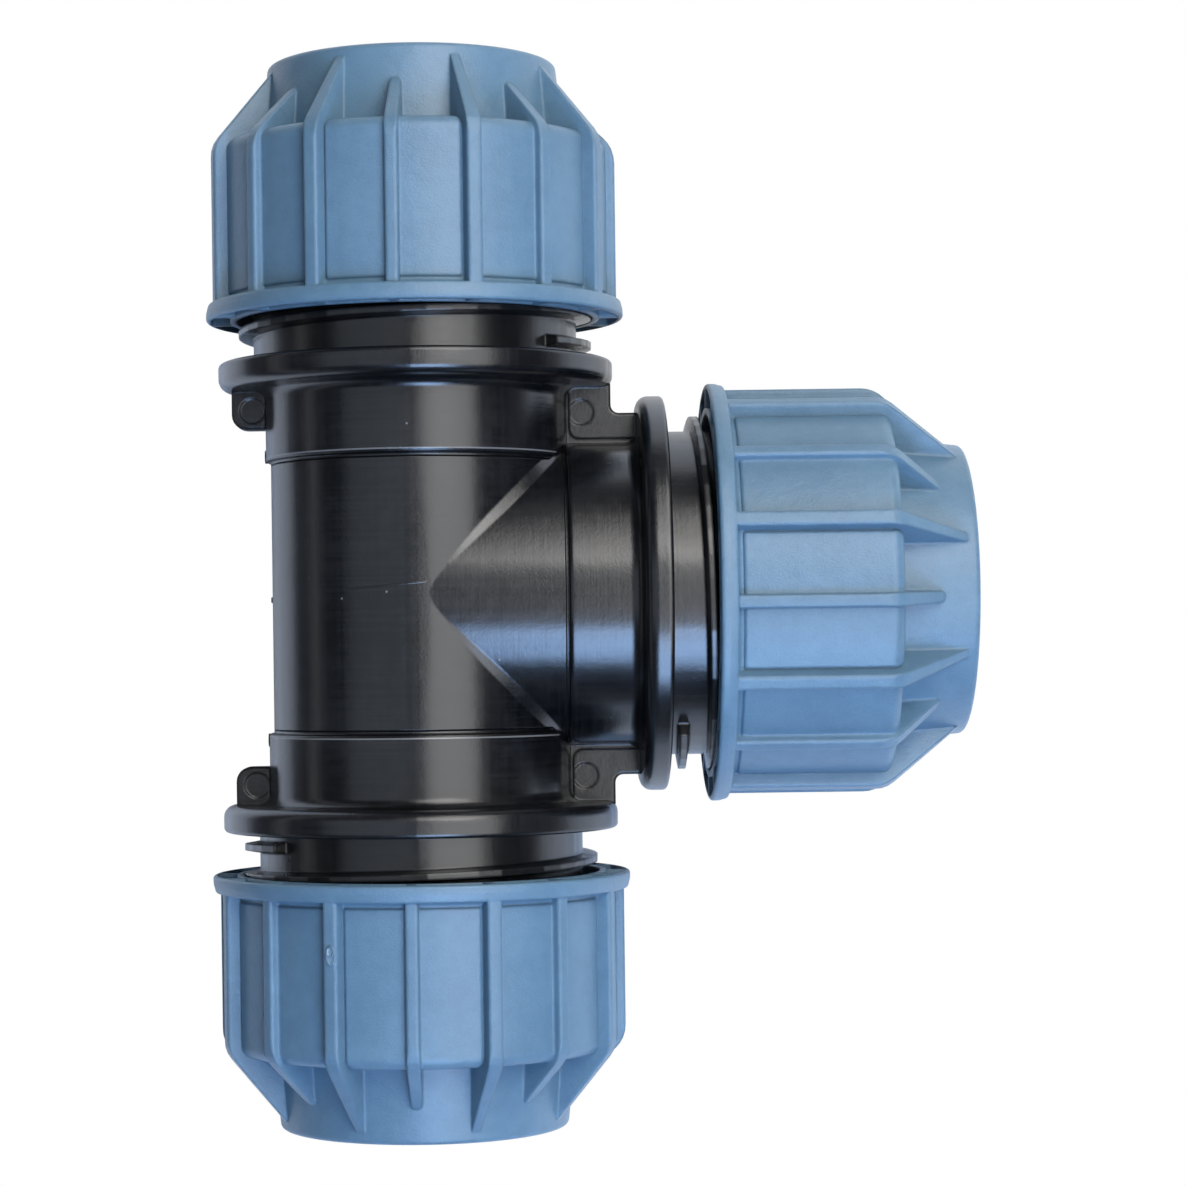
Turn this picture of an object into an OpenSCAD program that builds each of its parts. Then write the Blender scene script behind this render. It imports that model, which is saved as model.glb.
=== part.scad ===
// Compression tee for plastic pipe: a moulded body with three equal ports. On each port a ribbed
// union nut screws on a coarse thread and presses a split grip ring on the pipe. A pressure bush
// and an O-ring make the seal. It lies on its three nut rims: the run along Y, the branch along +X.

/* [Pipe] */
// Outer diameter of the pipe that the ports take
pipe_d = 63; // [62:0.25:64]
// Radial play between the pipe and the socket bore
pipe_play = 0.4; // [0.3:0.05:0.6]

/* [Body tubes] */
// Distance from the tee centre to the outer face of a run collar
run_reach = 63.6; // [60:0.5:72]
// How much further out everything on the branch port sits
branch_extra = 3.6; // [2:0.2:8]
// Outer radius of the tube in the middle of the run
tube_r = 39.85; // [39:0.1:40.5]
// Outer radius of the branch tube where it leaves the run
branch_tube_r = 39.65; // [39:0.1:40]
// Height of the step to the thicker tube ends
tube_step = 1.3; // [0.8:0.1:2]
// Length of the thicker tube end between the step and the collar
tube_end_len = 19.6; // [17:0.2:21]
// Radius of the waterway through the run
waterway_r = 30.5; // [28:0.5:31]
// Radius of the waterway from the branch
branch_waterway_r = 30.2; // [28:0.5:31]
// Depth of the plain pipe socket between the pipe stop and the seal pocket
socket_len = 37; // [32:0.5:40]

/* [Body collars] */
// Outer radius of the collars
collar_r = 53.8; // [52:0.2:55]
// Width of a collar along its port
collar_w = 7.2; // [6:0.2:9]
// Radius of the collar edge that faces the tee centre
collar_round = 3; // [1:0.5:3.5]
// Radius of the fillet between collar and tube
collar_fillet = 3; // [1:0.5:4]

/* [Spigot and thread] */
// Outer radius of the spigot under the thread
neck_r = 44.1; // [43.6:0.1:44.6]
// Length of the spigot beyond the collar
spigot_len = 40.4; // [38:0.2:41]
// Height of the thread ridge above the spigot
ridge_h = 4.1; // [3.5:0.1:4.3]
// Width of the thread ridge at its crest
ridge_crest_w = 1.8; // [1.4:0.1:2.2]
// Width of the thread ridge at its root
ridge_root_w = 3.4; // [3:0.1:3.8]
// Advance of the thread in one turn
lead = 8; // [7.5:0.25:9]
// Distance from the collar face to the middle of the ridge's first end
ridge_start = 3.4; // [3:0.1:4]
// Number of turns of the ridge on the spigot
ridge_turns = 4.2; // [3.5:0.1:4.25]
// Angle of the ridge's first end, from the upper side of the part
ridge_start_angle = 53; // [40:1:70]

/* [Gussets and ears] */
// Thickness of the webs in the parting plane
web_t = 6.4; // [4:0.2:9]
// How far the raised pads stand above the webs
pad_h = 1; // [0.5:0.1:1.5]
// Distance of an ear's outer edge from the run axis
ear_reach = 50.2; // [48:0.2:52]
// Distance of a gusset's outer edge from the run axis
gusset_reach = 53.2; // [52:0.2:53.6]
// Distance of a gusset's outer edge from the branch axis
gusset_leg_reach = 49.3; // [48:0.2:51]
// Length of an ear below the collar
ear_len = 10.4; // [8:0.2:12]
// Radius of the ear and pad corners
ear_corner_r = 4; // [2:0.5:4.5]
// Radius of the ejector pin marks
pin_mark_r = 3.45; // [2.5:0.05:3.6]

/* [Seal] */
// Radius of the seal pocket in the spigot's mouth
pocket_r = 38.2; // [37.6:0.1:38.8]
// Depth of the seal pocket
pocket_depth = 20; // [18:0.5:22]
// Thickness of the O-ring
o_ring_t = 5.8; // [5.4:0.1:6]
// Play between the O-ring and the pipe
o_ring_play = 0.25; // [0.2:0.05:0.4]
// Running clearance between loose pieces and their seats
seat_gap = 0.3; // [0.25:0.05:0.4]
// Outer radius of the bush's flange
bush_flange_r = 41.5; // [40.5:0.1:42]
// Thickness of the bush's flange
bush_flange_t = 3; // [2:0.1:3.2]

/* [Grip ring] */
// Wall between a tooth root and the pipe
tooth_h = 0.9; // [0.6:0.1:1.2]
// Number of teeth along the ring
teeth = 7; // [5:1:9]
// Width of the slot that splits the ring
slot_w = 7; // [4:0.5:10]

/* [Nut] */
// Length of a nut
nut_len = 69.2; // [68.4:0.2:72]
// Gap between rim and collar for a nut at angle 0
rim_gap = 11.2; // [11:0.1:13]
// Screw angle of each nut at rest: run port A, run port B, branch port
nut_angles = [17.9, 24.2, 26.3]; // [0:0.1:45]
// Outer radius of the rim
rim_r = 57; // [56.4:0.1:58]
// Height of the rim
rim_h = 4.6; // [4.2:0.1:6]
// Outer radius of the panels between the ribs
drum_r = 52.8; // [52.4:0.1:53.2]
// How far the panels stand above the drum behind them
panel_h = 0.7; // [0.4:0.1:1]
// Radius of the panel corners beside the tall ribs
panel_corner_r = 2.4; // [1:0.2:4]
// Height of the drum's shoulder above the rim's face
shoulder_at = 48; // [47.4:0.1:48.6]
// Outer radius of the mouth
mouth_r = 39.3; // [38.8:0.1:40]
// Outer radius of the nose where it leaves the drum
nose_r = 41.6; // [41.2:0.1:42.4]
// Radial play of the thread
thread_play = 0.5; // [0.4:0.05:0.6]
// Radial play of the pipe in the mouth
mouth_play = 1.4; // [1:0.1:1.8]
// Thickness of the lip at the mouth
lip_t = 3; // [2.4:0.1:3.4]
// Inner radius of the cone seat at its wide end
cone_r = 39.4; // [39:0.1:39.8]
// Inner radius of the cone seat at the lip
cone_end_r = 35.6; // [35.4:0.1:36]

/* [Nut ribs] */
// Number of tall ribs, and as many low ribs between them
ribs = 8; // [6:1:10]
// Outer radius of the tall ribs
tall_rib_r = 56.2; // [55.4:0.1:56.2]
// Outer radius of the low ribs
low_rib_r = 55.2; // [54.6:0.1:55.4]
// Width of a tall rib at its top
tall_rib_w = 4; // [3:0.1:4.4]
// Width of a tall rib at its tip on the nose
tall_tip_w = 2.4; // [2:0.1:3]
// Width of a low rib at its top
low_rib_w = 3.5; // [2.8:0.1:3.8]
// Slope of the rib sides, in degrees
rib_draft = 1; // [0.5:0.5:3]
// Radius of the ribs' shoulders
rib_round = 9; // [4:0.5:12]

/* [Hidden] */

$fn = 96;
eps = 0.01;
far = 200;

// Straight lengths in a turn of the body's thread ridge and of the nut's
ridge_steps = 45;
nut_ridge_steps = 30;

// Rounding of plain edges, and of the edge at a mouth or bore
edge = 0.6;
step_round = 1;
mouth_chamfer = 1;

// How deep a joined piece sinks into its neighbour
sink = 0.5;

black = "#23262b";
blue = "#7f9fc0";
white = "#e8e6df";
bush_blue = "#3f6f9f";
rubber = "#1a1a1a";

pipe_r = pipe_d / 2;
socket_r = pipe_r + pipe_play;

// Places along a port, from the tee centre
collar_in = run_reach - collar_w;
spigot_end = run_reach + spigot_len;
pocket_floor = spigot_end - pocket_depth;
pipe_stop = pocket_floor - socket_len;
step_at = collar_in - tube_end_len;
tube_end_r = tube_r + tube_step;
ridge_r = neck_r + ridge_h;

// The nut in its own frame, its rim face at zero
thread_root_r = ridge_r + thread_play;
thread_crest_r = neck_r + thread_play;
chamber_len = 43.4;
chamber_r = 45.6;
cone_len = nut_len - lip_t - chamber_len;
cone_fall = (cone_r - cone_end_r) / cone_len;

// The nut's own ridge fills the groove between the body's turns, less the play on both flanks. It
// starts thread_run_in above the rim face and ends thread_run_out under the chamber's floor.
flank_play = 0.8;
flank_slope = 2;
thread_run_in = 1.5;
thread_run_out = 4.5;
nut_ridge_root_w = lead - ridge_crest_w - 2 * flank_play;
nut_ridge_crest_w = nut_ridge_root_w - flank_slope;
nut_ridge_offset = ridge_start - rim_gap + lead / 2;
nut_ridge_low = nut_ridge_root_w / 2 + thread_run_in;
nut_ridge_from = nut_ridge_offset + lead * ceil((nut_ridge_low - nut_ridge_offset) / lead);
nut_ridge_turns = (chamber_len - thread_run_out - nut_ridge_root_w / 2 - nut_ridge_from) / lead;

// Distance of a nut's rim face from the tee centre, on a run port
function nut_at(angle) = run_reach + rim_gap + lead * angle / 360;

mouth_at = nut_at(nut_angles[2]) + branch_extra + nut_len;
tee_centre = [(rim_r - mouth_at) / 2, 0, rim_r];

PORTS = [0, 180, -90];
function port_out(port) = port == 2 ? branch_extra : 0;

// Corner between two straight sides, rounded with radius r
function unit(v) = v / norm(v);
function corner(p, q, s, r) =
    let (u = unit(p - q), v = unit(s - q), half = acos(u * v) / 2,
         mid = q + unit(u + v) * r / sin(half), from = q + u * r / tan(half) - mid,
         to = q + v * r / tan(half) - mid, a = atan2(from[1], from[0]),
         turn = atan2(from[0] * to[1] - from[1] * to[0], from * to), n = max(2, ceil(abs(turn) / 15)))
    [for (i = [0:n]) mid + r * [cos(a + turn * i / n), sin(a + turn * i / n)]];

// Outline through points [x, y, radius], with every corner rounded by its own radius
function outline(pts) = let (n = len(pts))
    [for (i = [0:n - 1])
        let (p = pts[(i + n - 1) % n], q = pts[i], s = pts[(i + 1) % n])
        each (q[2] == 0 ? [[q[0], q[1]]]
                        : corner([p[0], p[1]], [q[0], q[1]], [s[0], s[1]], q[2]))];

// A port stands along its own +Z, with its upper side along its own +X
module at_port(port)
    translate(tee_centre) rotate([0, 0, PORTS[port]]) rotate([-90, -90, 0])
        translate([0, 0, port_out(port)]) children();

// Helical ridge: width w_in at radius r_in and w_out at radius r_out
module ridge(r_in, w_in, r_out, w_out, z, angle, turns, per_turn) {
    steps = ceil(turns * per_turn);
    profile = [[r_in, -w_in / 2], [r_out, -w_out / 2], [r_out, w_out / 2], [r_in, w_in / 2]];
    points = [for (i = [0:steps]) let (t = turns * i / steps, a = angle + 360 * t)
        for (p = profile) [p[0] * cos(a), p[0] * sin(a), z + lead * t + p[1]]];
    sides = [for (i = [0:steps - 1], j = [0:3]) let (k = (j + 1) % 4)
        [4 * i + j, 4 * i + k, 4 * i + 4 + k, 4 * i + 4 + j]];
    polyhedron(points, concat([[3, 2, 1, 0]], sides, [[for (j = [0:3]) 4 * steps + j]]));
}

// Collar, spigot and thickened tube end of one port
module port_shell() {
    rotate_extrude()
        polygon(outline([
            [0, step_at, 0], [tube_end_r, step_at, step_round],
            [tube_end_r, collar_in, collar_fillet], [collar_r, collar_in, collar_round],
            [collar_r, run_reach, 2 * edge], [neck_r, run_reach, 0],
            [neck_r, spigot_end, mouth_chamfer], [0, spigot_end, 0]]));
    ridge(neck_r - sink, ridge_root_w, ridge_r, ridge_crest_w,
          run_reach + ridge_start, ridge_start_angle, ridge_turns, ridge_steps);
}

module port_bores() {
    translate([0, 0, pipe_stop]) cylinder(r = socket_r, h = far);
    translate([0, 0, pocket_floor]) cylinder(r = pocket_r, h = far);
    translate([0, 0, spigot_end - mouth_chamfer])
        cylinder(r1 = pocket_r, r2 = pocket_r + 2 * mouth_chamfer, h = 2 * mouth_chamfer);
}

// Flat fillet along the crease between run and branch, on one side of the branch: its width at its
// ends and halfway up, where it starts, where it has sunk under the surface, and how deep it ends
crease_w = [1, 3.4];
crease_from = 12;
crease_step = 2;
crease_sunk_at = 6;
crease_sunk = 0.4;
crease_half_w = 3.2;
crease_core = [20, 25];

function crease_point(a, rise) =
    branch_tube_r * [sqrt(2) * sin(a), cos(a)] + rise * unit([sin(a) / sqrt(2), cos(a)]);

module crease(side) {
    shape = [for (a = [crease_from:crease_step:180 - crease_from])
        let (fold = acos(cos(a) * cos(a)), w = crease_w[0] + (crease_w[1] - crease_w[0]) * abs(sin(2 * a)))
        crease_point(a, w / 2 * tan(fold / 2))];
    core = [crease_point(180 - crease_sunk_at, -crease_sunk), [crease_core[0], -crease_core[1]],
            crease_core, crease_point(crease_sunk_at, -crease_sunk)];
    translate(tee_centre) rotate([90, 0, 45 * side])
        linear_extrude(2 * crease_half_w, center = true) polygon(concat(shape, core));
}

// Plate in the parting plane, its outline given in the plane of the port axes
module plate(points, t)
    translate(tee_centre) linear_extrude(t, center = true) polygon(points);

// Shallow round mark of an ejector pin, on both faces of a pad
module pin_mark(x, y)
    for (side = [-1, 1])
        translate(tee_centre + [x, y, side * (web_t / 2 + pad_h)])
            cylinder(r = pin_mark_r, h = pin_mark_depth * 2, center = true);

// Webs and pads: how far they sink into tube and collar, how far a pad's edge stays inside its
// web's edge, and where the pin marks lie
web_sink = 4;
collar_sink = 1;
pad_edge = 0.4;
pad_inner_r = 2.7;
gusset_fillet = 2.2;
pin_mark_depth = 0.35;
gusset_pad_at = [41.8, 42.4];
gusset_mark_at = [45.1, 49.5];
ear_mark_at = [44.5, 51];

module gusset(side) {
    top = collar_in + collar_sink;
    right = collar_in + branch_extra + collar_sink;
    web = outline([
        [tube_r - web_sink, branch_tube_r - web_sink, 0], [right, branch_tube_r - web_sink, 0],
        [right, gusset_leg_reach, 0], [gusset_reach, gusset_leg_reach, gusset_fillet],
        [gusset_reach, top, 0], [tube_r - web_sink, top, 0]]);
    pad = outline([
        [gusset_pad_at[0], gusset_pad_at[1], pad_inner_r],
        [right, gusset_pad_at[1], 0], [right, gusset_leg_reach - pad_edge, 0],
        [gusset_reach - pad_edge, gusset_leg_reach - pad_edge, gusset_fillet + pad_edge],
        [gusset_reach - pad_edge, top, 0], [gusset_pad_at[0], top, 0]]);
    mirror([0, side < 0 ? 1 : 0, 0]) {
        plate(web, web_t);
        plate(pad, web_t + 2 * pad_h);
    }
}

module ear(side) {
    top = collar_in + collar_sink;
    low = collar_in - ear_len;
    web = outline([
        [web_sink - tube_r, low, 0], [web_sink - tube_r, top, 0],
        [-ear_reach, top, 0], [-ear_reach, low, ear_corner_r]]);
    pad = outline([
        [-tube_end_r, low + pad_edge, 0], [-tube_end_r, top, 0],
        [pad_edge - ear_reach, top, 0],
        [pad_edge - ear_reach, low + pad_edge, ear_corner_r - pad_edge]]);
    mirror([0, side < 0 ? 1 : 0, 0]) {
        plate(web, web_t);
        plate(pad, web_t + 2 * pad_h);
    }
}

module body()
    color(black)
        difference() {
            union() {
                translate(tee_centre) rotate([90, 0, 0])
                    cylinder(r = tube_r, h = 2 * (step_at + collar_sink), center = true);
                translate(tee_centre) rotate([0, 90, 0])
                    cylinder(r = branch_tube_r, h = step_at + branch_extra + collar_sink);
                for (port = [0:2]) at_port(port) port_shell();
                for (side = [-1, 1]) {
                    crease(side);
                    gusset(side);
                    ear(side);
                }
            }
            for (port = [0:2]) at_port(port) port_bores();
            translate(tee_centre) rotate([90, 0, 0])
                cylinder(r = waterway_r, h = 2 * (pipe_stop + sink), center = true);
            translate(tee_centre) rotate([0, 90, 0])
                cylinder(r = branch_waterway_r, h = pipe_stop + branch_extra + sink);
            for (side = [-1, 1]) {
                pin_mark(gusset_mark_at[0], side * gusset_mark_at[1]);
                pin_mark(-ear_mark_at[0], side * ear_mark_at[1]);
            }
        }

// Ribs: the rounding of their long edges, how much further a low rib's foot spreads on the rim and how
// deep it dips into it, and where a tall and a low rib bend towards the nose and end on it
rib_edge_r = 0.8;
rib_foot = 0.9;
rib_dip = 0.05;
rib_bend = [1.8, 2];
rib_end_r = [0.2, 0.9];
rib_end = [2.4, 9.6];
low_tip_round = 1.4;
core_r = mouth_r - 2 * lip_t;

// Rib given by its side view, with its foot on the rim, its shoulder and the line down to the nose,
// by its cross-section, and by its front view, which narrows from the shoulder to the tip
module rib(r, w, tip_w, tip_round, foot, shoulder, end_r, end_at) {
    foot_at = rim_h - rib_dip;
    rib_foot_line = foot > 0 ? [[r + foot, rim_h - sink, 0], [r + foot, foot_at, 0], [r, foot_at, foot]]
                             : [[r, rim_h - sink, 0]];
    side_view = outline([
        [core_r, rim_h - sink, 0], each rib_foot_line,
        [r, shoulder, rib_round], [end_r, end_at, edge], [core_r, end_at + edge, 0]]);
    half = w / 2 + (r - core_r) * tan(rib_draft);
    section = outline([
        [core_r, -half, 0], [r, -w / 2, rib_edge_r], [r, w / 2, rib_edge_r], [core_r, half, 0]]);
    front_view = outline([
        [-w, rim_h - sink, 0], [w, rim_h - sink, 0], [w, shoulder, 0], [w / 2, shoulder, 0],
        [tip_w / 2, end_at, tip_round], [-tip_w / 2, end_at, tip_round],
        [-w / 2, shoulder, 0], [-w, shoulder, 0]]);
    intersection() {
        rotate([90, 0, 0]) linear_extrude(4 * w, center = true) polygon(side_view);
        linear_extrude(nut_len) polygon(section);
        rotate([90, 0, 90]) linear_extrude(2 * r) polygon(front_view);
    }
}

// Roundings of the drum's shoulder and foot, of the nose's foot, of the mouth's outer edge and of
// the rim, how far the rim leans in, and how far a panel ends before the tall rib beside it and
// where it starts above the rim
shoulder_round = 3.2;
drum_foot = 1.8;
panel_gap = 0.8;
panel_rise = 1.6;
panel_from = rim_h + panel_rise;
nose_fillet = 1.6;
mouth_round = 1.4;
rim_round = 0.9;
rim_lean = [0.1, 0.7];
core_from = chamber_len - thread_run_out;

// Turned ring that the panels are cut from
module panel_ring()
    rotate_extrude()
        polygon(outline([
            [core_r, panel_from, 0], [drum_r, panel_from, edge],
            [drum_r, shoulder_at, shoulder_round], [core_r, shoulder_at, 0]]));

module panel() {
    half = drum_r * sin(180 / ribs) - (tall_rib_w / 2 + panel_gap) * cos(180 / ribs);
    front_view = outline([
        [-half, panel_from, edge], [half, panel_from, edge],
        [half, shoulder_at, panel_corner_r], [-half, shoulder_at, panel_corner_r]]);
    intersection() {
        panel_ring();
        rotate([90, 0, 90]) linear_extrude(2 * drum_r) polygon(front_view);
    }
}

module nut_shape()
    difference() {
        union() {
            rotate_extrude()
                polygon(outline([
                    [thread_root_r - sink, 0, 0], [rim_r, 0, rim_round],
                    [rim_r - rim_lean[0], rim_h / 2, edge], [rim_r - rim_lean[1], rim_h, edge],
                    [drum_r - panel_h, rim_h, drum_foot],
                    [drum_r - panel_h, shoulder_at - panel_h, shoulder_round],
                    [nose_r, shoulder_at - panel_h, nose_fillet],
                    [mouth_r, nut_len, mouth_round], [core_r, nut_len, 0],
                    [core_r, core_from, 0], [thread_root_r - sink, core_from, 0]]));
            for (i = [1:ribs]) {
                rotate([0, 0, 360 / ribs * i])
                    rib(tall_rib_r, tall_rib_w, tall_tip_w, edge, 0, shoulder_at - rib_bend[0],
                        mouth_r - rib_end_r[0], nut_len - rib_end[0]);
                rotate([0, 0, 360 / ribs * (i + 0.5)]) {
                    rib(low_rib_r, low_rib_w, low_rib_w - edge, low_tip_round, rib_foot,
                        shoulder_at - rib_bend[1], nose_r - rib_end_r[1], nut_len - rib_end[1]);
                    panel();
                }
            }
        }
        nut_bores();
        rim_pockets();
    }

module nut_bores() {
    mouth_bore_r = pipe_r + mouth_play;
    translate([0, 0, -1]) cylinder(r = thread_root_r, h = chamber_len - thread_run_out + 1);
    cylinder(r = chamber_r, h = chamber_len);
    translate([0, 0, chamber_len - eps])
        cylinder(r1 = cone_r, r2 = cone_end_r, h = cone_len + eps);
    cylinder(r = mouth_bore_r, h = far);
    translate([0, 0, nut_len - mouth_chamfer])
        cylinder(r1 = mouth_bore_r, r2 = mouth_bore_r + 2 * mouth_chamfer, h = 2 * mouth_chamfer);
}

// Hollows under the rim, between webs that stand under the ribs
pocket_web = 2.2;
pocket_h = 3;
pocket_outer_wall = 1.3;
pocket_inner_wall = 1.7;

module rim_pockets()
    difference() {
        translate([0, 0, -1]) difference() {
            cylinder(r = rim_r - pocket_outer_wall, h = pocket_h + 1);
            translate([0, 0, -1]) cylinder(r = thread_root_r + pocket_inner_wall, h = pocket_h + 3);
        }
        for (i = [0:ribs - 1])
            rotate([0, 0, 180 / ribs * i])
                cube([3 * rim_r, pocket_web, 4 * pocket_h], center = true);
    }

// Puts something made in the nut's own frame in its place on a port
module at_nut(port)
    at_port(port) translate([0, 0, nut_at(nut_angles[port])]) rotate([0, 0, nut_angles[port]])
        children();

module nut(port)
    color(blue) at_nut(port) {
        nut_shape();
        ridge(thread_crest_r, nut_ridge_crest_w, thread_root_r + sink, nut_ridge_root_w,
              nut_ridge_from, ridge_start_angle, nut_ridge_turns, nut_ridge_steps);
    }

// Split clinching ring: cone outside to fit the nut's seat, sharp teeth inside to bite the pipe
tooth_land = 0.4;
plain_end = 1.5;

module grip_ring(port) {
    len = cone_len - 2 * seat_gap;
    root_r = socket_r + tooth_h;
    wide_r = cone_r - seat_gap - cone_fall * seat_gap;
    small_r = cone_end_r - seat_gap + cone_fall * seat_gap;
    pitch = (len - 2 * plain_end) / teeth;
    color(white) at_nut(port) translate([0, 0, chamber_len + seat_gap])
        difference() {
            rotate_extrude()
                polygon(concat(
                    [[socket_r, 0], [wide_r, 0], [small_r, len], [root_r, len]],
                    [for (i = [teeth - 1:-1:0]) let (z = plain_end + pitch * i)
                        each [[root_r, z + pitch], [socket_r, z + tooth_land], [socket_r, z]]]));
            translate([0, -slot_w / 2, -1]) cube([far, slot_w, far]);
        }
}

// Pressure bush: slides in the seal pocket behind the O-ring, its flange outside the spigot
bush_bore_chamfer = 1.2;

module bush(port) {
    inner_r = socket_r + seat_gap;
    stem_r = pocket_r - seat_gap;
    from = pocket_floor + o_ring_t + 2 * seat_gap;
    flange_at = spigot_end + seat_gap;
    top = flange_at + bush_flange_t;
    color(bush_blue) at_port(port)
        rotate_extrude()
            polygon(outline([
                [inner_r, from, edge], [stem_r, from, edge], [stem_r, flange_at, 0],
                [bush_flange_r, flange_at, edge / 2], [bush_flange_r, top, edge],
                [inner_r + bush_bore_chamfer, top, 0], [inner_r, top - bush_bore_chamfer, 0]]));
}

module o_ring(port)
    color(rubber) at_port(port)
        translate([0, 0, pocket_floor + seat_gap + o_ring_t / 2])
            rotate_extrude() translate([pipe_r + o_ring_play + o_ring_t / 2, 0])
                circle(d = o_ring_t, $fn = $fn / 3);

module nut_run_a() nut(0);
module nut_run_b() nut(1);
module nut_branch() nut(2);
module grip_ring_run_a() grip_ring(0);
module grip_ring_run_b() grip_ring(1);
module grip_ring_branch() grip_ring(2);
module bush_run_a() bush(0);
module bush_run_b() bush(1);
module bush_branch() bush(2);
module o_ring_run_a() o_ring(0);
module o_ring_run_b() o_ring(1);
module o_ring_branch() o_ring(2);

body();
nut_run_a();
nut_run_b();
nut_branch();
grip_ring_run_a();
grip_ring_run_b();
grip_ring_branch();
bush_run_a();
bush_run_b();
bush_branch();
o_ring_run_a();
o_ring_run_b();
o_ring_branch();
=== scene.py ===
# Compression tee for 63 mm pipe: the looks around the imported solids, which it uses as its frame.
# It lies on its three nut rims, the run along Y and the branch along +X, and is seen from above.
import math
import bpy
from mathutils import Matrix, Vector


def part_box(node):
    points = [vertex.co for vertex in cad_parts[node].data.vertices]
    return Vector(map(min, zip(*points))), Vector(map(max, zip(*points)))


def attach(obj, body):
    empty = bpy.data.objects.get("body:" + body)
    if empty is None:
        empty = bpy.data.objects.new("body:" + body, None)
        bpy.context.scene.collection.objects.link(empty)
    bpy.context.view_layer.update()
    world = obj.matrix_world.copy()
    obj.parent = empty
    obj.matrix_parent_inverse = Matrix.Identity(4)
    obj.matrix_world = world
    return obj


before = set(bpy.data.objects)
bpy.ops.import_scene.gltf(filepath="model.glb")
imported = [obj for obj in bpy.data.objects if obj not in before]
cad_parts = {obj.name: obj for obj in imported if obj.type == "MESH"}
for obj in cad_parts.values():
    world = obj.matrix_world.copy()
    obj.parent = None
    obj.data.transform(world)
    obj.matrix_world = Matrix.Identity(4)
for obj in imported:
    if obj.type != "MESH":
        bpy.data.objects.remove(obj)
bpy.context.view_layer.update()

# Camera: it hangs 0.87 m above the tee's centre and looks straight down, turned by less than a
# degree, with a small lens shift, because the tee isn't in the middle of the picture.
RIM_RADIUS = 0.0570
COLLAR_RADIUS = 0.0538
tee_centre = Vector((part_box("body")[0].x + COLLAR_RADIUS, 0, RIM_RADIUS))
eye = bpy.data.cameras.new("camera")
eye.sensor_width = 36
eye.lens = 96.4
eye.shift_x, eye.shift_y = 0.0852, 0.0590
eye.clip_start, eye.clip_end = 0.05, 20
camera = bpy.data.objects.new("camera", eye)
camera.location = tee_centre + Vector((0.0199, -0.0185, 0.870))
camera.rotation_euler = (0, 0, -0.01325)
bpy.context.scene.collection.objects.link(camera)
bpy.context.scene.camera = camera
bpy.context.scene.view_settings.view_transform = "Standard"

# Room: a plain floor that the camera sees as white paper. To the part it is a pale sheet that ends
# 0.2 m to the left of the run, with a darker room beyond. The sky is pale at the left and grey overhead.
bpy.ops.object.select_all(action="DESELECT")
bpy.ops.mesh.primitive_plane_add(size=12, location=(0, 0, -0.0005))
floor = bpy.context.object
floor.name = "floor"


class Wire:
    """A socket in a node tree, whose value is added, taken away and multiplied in plain Python."""

    def __init__(self, tree, socket=None):
        self.tree, self.socket = tree, socket

    def node(self, kind, sockets, out=0, **settings):
        made = self.tree.nodes.new("ShaderNode" + kind)
        for name, value in settings.items():
            setattr(made, name, value)
        for name, value in sockets.items():
            if isinstance(value, Wire):
                self.tree.links.new(value.socket, made.inputs[name])
            else:
                made.inputs[name].default_value = value
        return Wire(self.tree, made.outputs[out] if made.outputs else None)

    def maths(self, operation, a, b):
        return self.node("Math", {0: a, 1: b}, operation=operation)

    def __add__(self, other):
        return self.maths("ADD", self, other)

    def __sub__(self, other):
        return self.maths("SUBTRACT", self, other)

    def __rsub__(self, other):
        return self.maths("SUBTRACT", other, self)

    def __mul__(self, other):
        return self.maths("MULTIPLY", self, other)

    __radd__, __rmul__ = __add__, __mul__

    def absolute(self):
        return self.node("Math", {0: self}, operation="ABSOLUTE")

    def scaled(self, x, y, z):
        return self.node("VectorMath", {0: self, 1: (x, y, z)}, operation="MULTIPLY")

    def between(self, low, high):
        """0 at low and 1 at high, with a smooth change between them. low may be the larger."""
        return self.node("MapRange", {"Value": self, "From Min": low, "From Max": high},
                         interpolation_type="SMOOTHSTEP")

    def mix(self, dark, light):
        """The colour dark at 0 and light at 1, on a Mix node's sockets 6 and 7."""
        return self.node("Mix", {"Factor": self, 6: dark, 7: light}, 2, data_type="RGBA")


def empty_tree(owner):
    owner.use_nodes = True
    owner.node_tree.nodes.clear()
    return Wire(owner.node_tree)


paper = bpy.data.materials.new("white_floor")
tree = empty_tree(paper)
blank = tree.node("Emission", {"Color": (1, 1, 1, 1), "Strength": 1})
floor_x = tree.node("SeparateXYZ", {0: tree.node("TexCoord", {}, "Object")}, "X")
sheet_edge = tee_centre.x - 0.20
sheet = floor_x.between(sheet_edge - 0.03, sheet_edge)
chalk = tree.node("BsdfDiffuse", {"Color": sheet.mix((0.12, 0.12, 0.125, 1), (0.88, 0.90, 0.93, 1))})
seen = tree.node("LightPath", {}, "Is Camera Ray")
tree.node("OutputMaterial", {"Surface": tree.node("MixShader", {0: seen, 1: chalk, 2: blank})})
floor.data.materials.append(paper)

world = bpy.data.worlds.new("room")
bpy.context.scene.world = world
tree = empty_tree(world)
direction = tree.node("TexCoord", {}, "Generated")
height = tree.node("SeparateXYZ", {0: direction}, "Z")
rightward = tree.node("SeparateXYZ", {0: direction}, "X")
horizon = rightward.between(-1.0, 0.0).mix((0.85, 0.87, 0.91, 1), (0.28, 0.285, 0.30, 1))
low_sky = height.between(0.0, 0.2).mix(horizon, (0.06, 0.065, 0.075, 1))
sky = height.between(0.5, 1.0).mix(low_sky, (0.14, 0.15, 0.175, 1))
tree.node("OutputWorld", {"Surface": tree.node("Background", {"Color": sky, "Strength": 1.0})})


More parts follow.
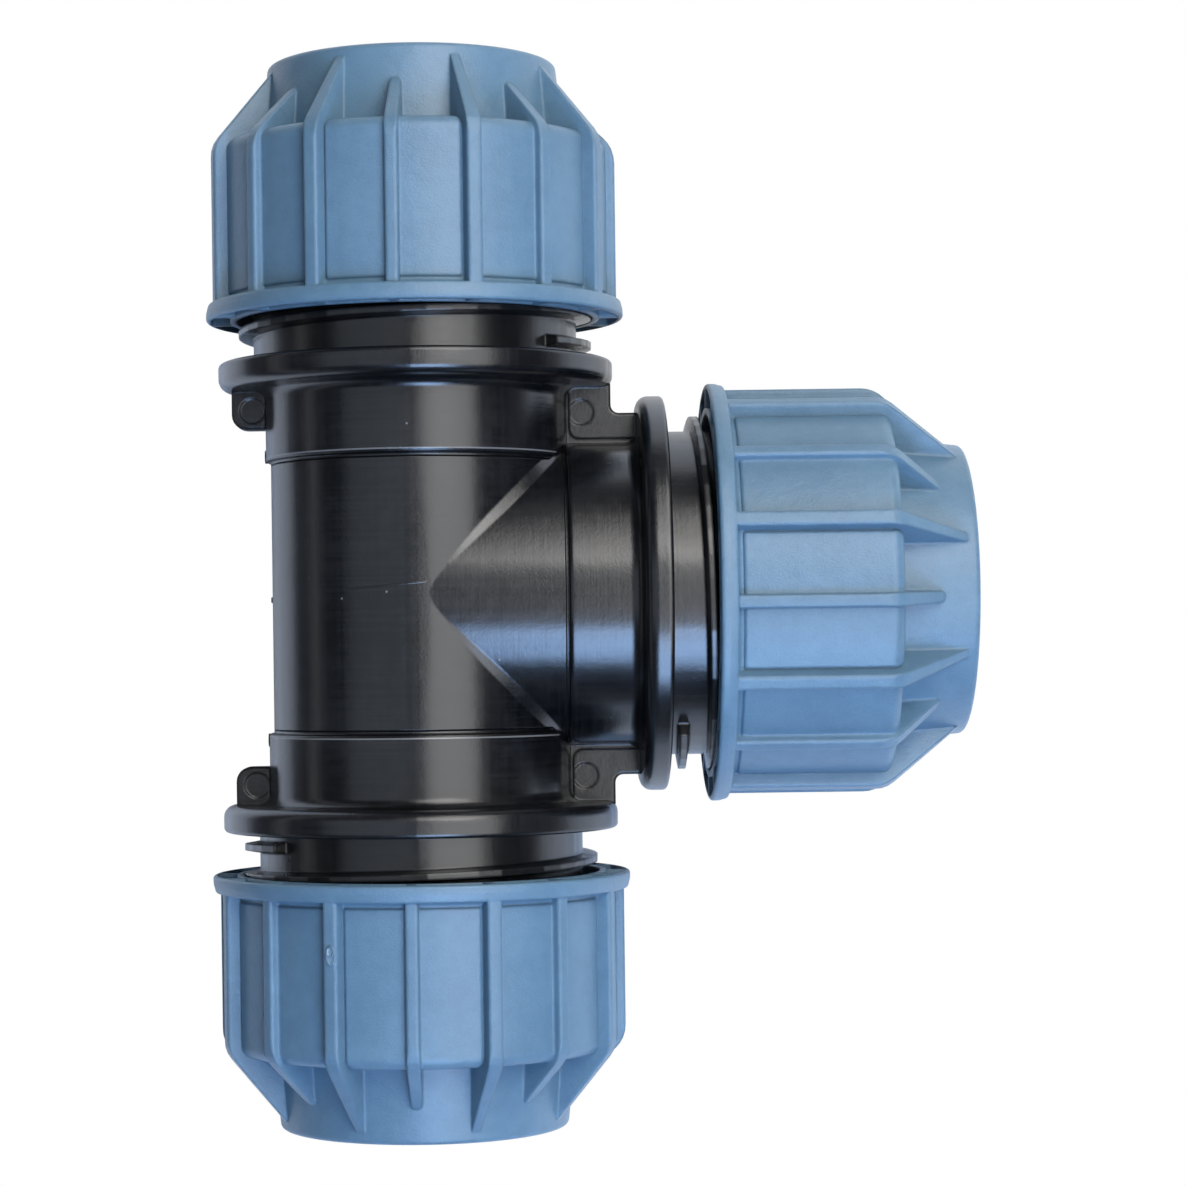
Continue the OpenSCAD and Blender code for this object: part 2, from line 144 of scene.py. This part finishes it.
# Softboxes: a long neutral one makes the band along the run. Two lie across the branch, a warm white
# one above it in the picture and a blue one, like a patch of sky, below it. A dim one is at the left.
def softbox(name, place, target, width, depth, radiance, colour):
    lamp = bpy.data.lights.new(name, "AREA")
    lamp.shape = "RECTANGLE"
    lamp.size, lamp.size_y = width, depth
    lamp.energy = radiance * math.pi * width * depth
    lamp.color = colour
    held = bpy.data.objects.new(name, lamp)
    held.location = place
    aim = Vector(target) - Vector(place)
    held.rotation_euler = aim.to_track_quat("-Z", "Y").to_euler()
    bpy.context.scene.collection.objects.link(held)


AIM = (0.03, 0, 0.06)
softbox("run_window", (0.52, 0.0, 1.24), AIM, 1.6, 0.96, 2.75, (1, 1, 1))
softbox("white_window", (0.41, 0.87, 1.09), AIM, 0.8, 1.22, 4.2, (1, 0.975, 0.94))
softbox("sky_window", (0.17, -0.84, 1.09), AIM, 0.5, 0.64, 13.2, (0.38, 0.60, 1))
softbox("left_wall", (-0.68, 0.0, 1.17), (0, 0, 0.06), 0.9, 1.18, 0.50, (0.80, 0.89, 1))


# Body: one black moulding of polypropylene with a satin skin. Fine lines run along its tubes and round
# them, a weld line crosses the run, and the mould's parting line lies in the plane of the ports. A
# painted highlight, a thin light line, runs along the edges of the run's steps, and a few specks of dust
# lie on it.
def moulded(name, dark, light, roughness, rough_spread, grain, grain_size, edge_radius, specular=0.5,
            marks=None):
    """Finish of a moulded piece, with softened edges. marks adds what one piece alone has."""
    material = bpy.data.materials.new(name)
    tree = empty_tree(material)
    place = tree.node("TexCoord", {}, "Object")
    cloud = tree.node("TexNoise", {"Vector": place, "Scale": 45, "Detail": 4})
    flow = tree.node("TexNoise", {"Vector": place, "Scale": 240, "Detail": 3, "Roughness": 0.6})
    speck = tree.node("TexNoise", {"Vector": place, "Scale": 1 / grain_size, "Detail": 2})
    shade = cloud * 0.4 + flow * 0.35 + speck * 0.25
    rough = roughness + rough_spread * (flow - 0.5) + rough_spread * (cloud - 0.5)
    skin = tree.node("Bevel", {"Radius": edge_radius}, samples=6)
    stains_and_highlight = ()
    if marks:
        height, streaks, rings, stains_and_highlight = marks(tree, place)
        shade = shade + 0.45 * (rings - 0.5) + 0.2 * (streaks - 0.5)
        rough = rough + 0.10 * (streaks - 0.5)
        skin = tree.node("Bump", {"Height": height, "Strength": 1, "Distance": 0.0001, "Normal": skin})
    colour = shade.between(0.35, 0.65).mix(dark, light)
    # Colours laid over the finish: dust, and on the body a painted highlight along the step edges
    for mask, overlay_colour in stains_and_highlight:
        colour = mask.mix(colour, overlay_colour)
    skin = tree.node("Bump", {"Height": speck + flow * 2, "Strength": grain, "Distance": 0.0002,
                              "Normal": skin})
    shader = tree.node("BsdfPrincipled", {
        "Base Color": colour, "Roughness": rough, "Normal": skin, "IOR": 1.49,
        "Specular IOR Level": specular})
    tree.node("OutputMaterial", {"Surface": shader})
    return material


def body_marks(tree, place):
    """The body's relief in tenths of a millimetre, its two sorts of fine lines, and the colours laid
    over
    it: a painted highlight along the run's step edges, and dust.
    """
    local = tree.node("VectorMath", {0: place, 1: tee_centre}, operation="SUBTRACT")
    along_branch, along_run, up = (tree.node("SeparateXYZ", {0: local}, axis) for axis in "XYZ")
    from_middle = along_run.absolute()
    on_branch = (along_branch - from_middle).between(-0.0003, 0.0003)
    on_run = 1 - on_branch
    # The gussets and ears lie near the parting plane, so the tubes' lines and lips end short of it
    on_tube = up.absolute().between(0.012, 0.016)

    def fine_lines(run_scale, branch_scale, detail):
        run, branch = (tree.node("TexNoise", {"Vector": local.scaled(*scale), "Scale": 1,
                                              "Detail": detail}) for scale in (run_scale, branch_scale))
        return run + on_branch * (branch - run)

    streaks = fine_lines((700, 9, 700), (9, 700, 700), 2)
    rings = fine_lines((30, 1500, 30), (1500, 30, 30), 1)

    run_foot, run_lip, run_highlight_at, branch_foot = 0.0365, 0.0373, 0.0380, 0.0401
    run_groove = (from_middle - run_foot).absolute().between(0.0008, 0.0002) * on_run
    branch_groove = (along_branch - branch_foot).absolute().between(0.0007, 0.0003) * on_branch
    run_edge = from_middle.between(run_lip, run_lip + 0.0009) * on_run * on_tube
    # A thin light line at the outer edge of each run step: a painted highlight, not wear
    painted_highlight = (from_middle - run_highlight_at).absolute().between(0.0003, 0.0001) * on_run

    parting = up.absolute().between(0.0003, 0.0001)
    weld_slope, weld_shift, weld_start = 0.083, 0.0028, -0.019
    weld_at = along_run - along_branch * weld_slope - weld_shift
    weld_reach = along_branch.between(weld_start, weld_start + 0.004) * on_run * up.between(0.02, 0.03)
    weld = weld_at.absolute().between(0.0003, 0.0001) * weld_reach
    height = (on_tube * (streaks * 0.02 + rings * 0.10) + parting * 0.6 + weld * 0.5 + run_edge * 2
              - run_groove * 6 - branch_groove * 4)

    dusty_cells = 0.09
    cells = {"Vector": place, "Scale": 170}
    near = tree.node("TexVoronoi", cells, "Distance").between(0.07, 0.03)
    chosen = tree.node("SeparateXYZ", {0: tree.node("TexVoronoi", cells, "Color")}, "X")
    dust = near * chosen.between(1 - dusty_cells, 1.02 - dusty_cells)
    return height, streaks, rings, ((painted_highlight, (0.13, 0.135, 0.14, 1)), (dust, (0.14, 0.145, 0.155, 1)))


def dress(node, material):
    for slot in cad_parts[node].material_slots:
        slot.material = material


black = moulded("black_body", dark=(0.002, 0.0025, 0.0035, 1), light=(0.0075, 0.008, 0.0095, 1),
                roughness=0.24, rough_spread=0.06, grain=0.10, grain_size=0.0005,
                edge_radius=0.0009, specular=0.7, marks=body_marks)
dress("body", black)

# Nuts: three union nuts of light blue polypropylene with a satin, slightly grained skin. Each is one
# moulding with sixteen ribs, and is screwed onto a threaded spigot of the body.
PORTS = ("run_a", "run_b", "branch")
blue = moulded("blue_nut", dark=(0.087, 0.169, 0.253, 1), light=(0.109, 0.205, 0.297, 1),
               roughness=0.40, rough_spread=0.08, grain=0.45, grain_size=0.0005,
               edge_radius=0.0012, specular=0.6)
for port in PORTS:
    dress("nut_" + port, blue)

# Grip rings: split rings of white acetal, moulded with sharp teeth inside, one in each nut's cone.
# They show only through the nuts' mouths.
acetal = moulded("white_ring", dark=(0.66, 0.65, 0.6, 1), light=(0.7, 0.69, 0.64, 1),
                 roughness=0.4, rough_spread=0.05, grain=0.1, grain_size=0.0006, edge_radius=0.0004)
for port in PORTS:
    dress("grip_ring_" + port, acetal)

# Bushes: plain moulded rings of dark polypropylene, pushed into the seal pockets at the ends of the
# body after the O-rings.
dark_bush = moulded("dark_bush", dark=(0.02, 0.022, 0.027, 1), light=(0.026, 0.028, 0.034, 1),
                    roughness=0.42, rough_spread=0.05, grain=0.1, grain_size=0.0006,
                    edge_radius=0.0004)
for port in PORTS:
    dress("bush_" + port, dark_bush)

# O-rings: rings of matt black nitrile rubber, moulded, one on the floor of each seal pocket, where a
# bush keeps it in place.
rubber = moulded("seal_rubber", dark=(0.012, 0.012, 0.012, 1), light=(0.018, 0.018, 0.018, 1),
                 roughness=0.6, rough_spread=0.08, grain=0.3, grain_size=0.0004, edge_radius=0.0002)
for port in PORTS:
    dress("o_ring_" + port, rubber)


# Nubs: three small round pads on the run's side away from the branch, left by the mould's pins. The
# outer two stand on the thick tube ends, and the smaller one stands near the weld line.
def pad(name, angle, reach, along, radius, stretch, height):
    """Round pad with a dished middle. Its foot is sunk into a round of radius reach about the run's
    axis, at the distance along from the middle, and angle is counted from straight up."""
    outward = Vector((math.sin(angle), 0, math.cos(angle)))
    sunk = 0.0015
    bpy.ops.object.select_all(action="DESELECT")
    bpy.ops.mesh.primitive_cylinder_add(
        vertices=40, radius=radius, depth=height + sunk, rotation=(0, angle, 0), scale=(1, stretch, 1),
        location=tee_centre + outward * (reach + (height - sunk) / 2) + Vector((0, along, 0)))
    made = bpy.context.object
    made.name = name
    bpy.ops.object.transform_apply(location=True, rotation=True, scale=True)
    bpy.ops.object.mode_set(mode="EDIT")
    bpy.ops.mesh.select_mode(type="FACE")
    bpy.ops.mesh.select_all(action="DESELECT")
    bpy.ops.object.mode_set(mode="OBJECT")
    for face in made.data.polygons:
        face.select = face.normal.dot(outward) > 0.9
    bpy.ops.object.mode_set(mode="EDIT")
    bpy.ops.mesh.inset(thickness=radius * 0.35, depth=-height * 0.5)
    bpy.ops.object.mode_set(mode="OBJECT")
    round_edges = made.modifiers.new("round_edges", "BEVEL")
    round_edges.width, round_edges.segments, round_edges.limit_method = height * 0.3, 3, "ANGLE"
    bpy.ops.object.modifier_apply(modifier="round_edges")
    bpy.ops.object.shade_smooth_by_angle(angle=math.radians(40))
    return made


TUBE_RADIUS, TUBE_END_RADIUS = 0.03985, 0.04115
for name, along, reach, radius, height in (("nub_a", 0.0387, TUBE_END_RADIUS, 0.0018, 0.00035),
                                           ("nub_weld", -0.0005, TUBE_RADIUS, 0.0008, 0.0005),
                                           ("nub_b", -0.0388, TUBE_END_RADIUS, 0.0018, 0.00035)):
    nub = pad(name, math.radians(-90), reach, along, radius, 1, height)
    nub.data.materials.append(black)
    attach(nub, "tee")

# Gate mark: the scar on a tall rib of the lower nut, where the plastic was fed in. A round nub stands
# at one end of a longer, flatter oval, and both have sharper and glossier edges than the nut.
RIB_ANGLE, RIB_REACH = math.radians(-23.7), 0.0561
# Its blue is painted lighter than the nut's, a painted highlight standing in for the nub's glint
scar_with_painted_highlight = moulded("gate_scar_painted_highlight", dark=(0.13, 0.22, 0.31, 1), light=(0.15, 0.25, 0.34, 1),
               roughness=0.18, rough_spread=0.05, grain=0.1, grain_size=0.0005,
               edge_radius=0.0001, specular=0.8)
for name, along, radius, stretch, height in (("gate_oval", -0.0934, 0.0013, 2.0, 0.0005),
                                             ("gate_nub", -0.0924, 0.0010, 1.2, 0.0010)):
    gate = pad(name, RIB_ANGLE, RIB_REACH, along, radius, stretch, height)
    gate.data.materials.append(scar_with_painted_highlight)
    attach(gate, "nut_run_b")
